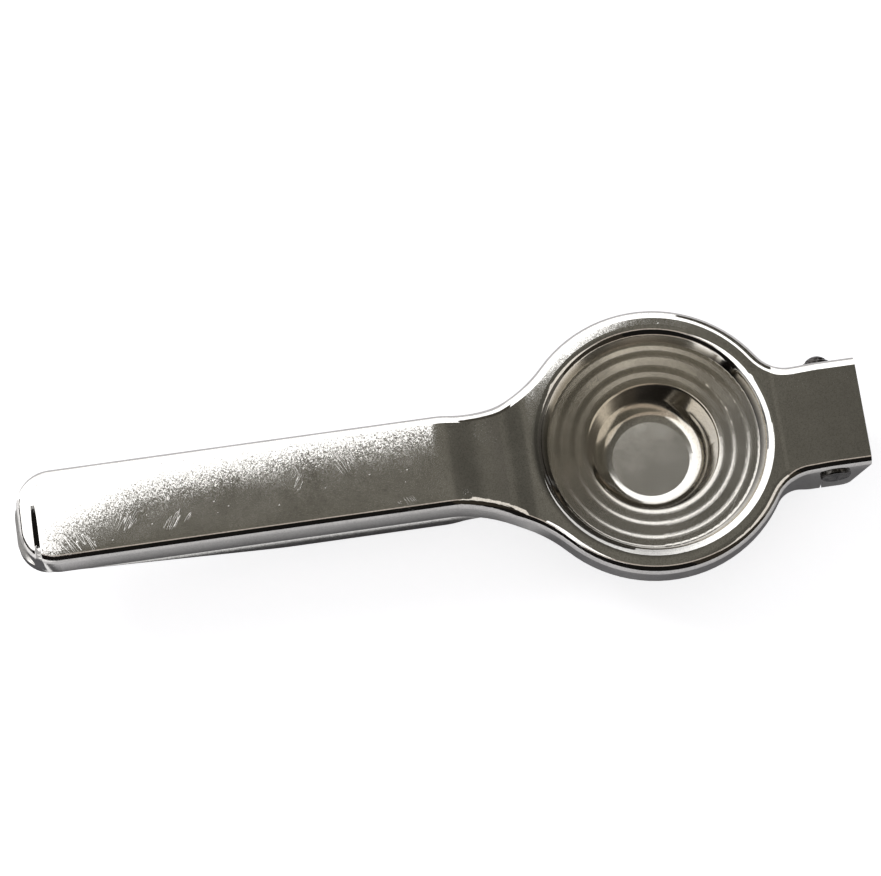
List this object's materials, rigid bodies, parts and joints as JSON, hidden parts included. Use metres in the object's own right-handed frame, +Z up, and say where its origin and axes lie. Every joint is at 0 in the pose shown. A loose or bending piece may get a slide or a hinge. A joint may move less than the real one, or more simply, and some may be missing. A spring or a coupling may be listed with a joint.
{
  "type": "hinged lemon squeezer",
  "caption": "Hinged lemon squeezer: two pressed metal arms with channel handles, a stepped press dome over a perforated cup, joined by a rivet.",
  "frame": {"origin": "centre of the flat underside of the strainer cup, on the cup axis", "axes": "+Z up along the cup axis, +X from the handles towards the hinge, Y along the hinge rivet"},
  "size_m": [0.2119, 0.0684, 0.0325],
  "materials": {
    "press_metal": "polished and plated, with fine scratches",
    "strainer_metal": "polished and plated, with fine scratches",
    "rivet_metal": "dull, darkened, hammered at its far end"
  },
  "bodies": {
    "strainer": {"strainer_arm": "strainer_metal"},
    "press": {"press_arm": "press_metal", "hinge_rivet": "rivet_metal", "rivet_washer": "rivet_metal"}
  },
  "joints": [
    {"name": "press_hinge", "type": "hinge", "parent": "strainer", "child": "press", "pos_m": [0.0436, 0, 0.0201], "axis": [0, 1, 0], "range_deg": [0, 105]}
  ]
}
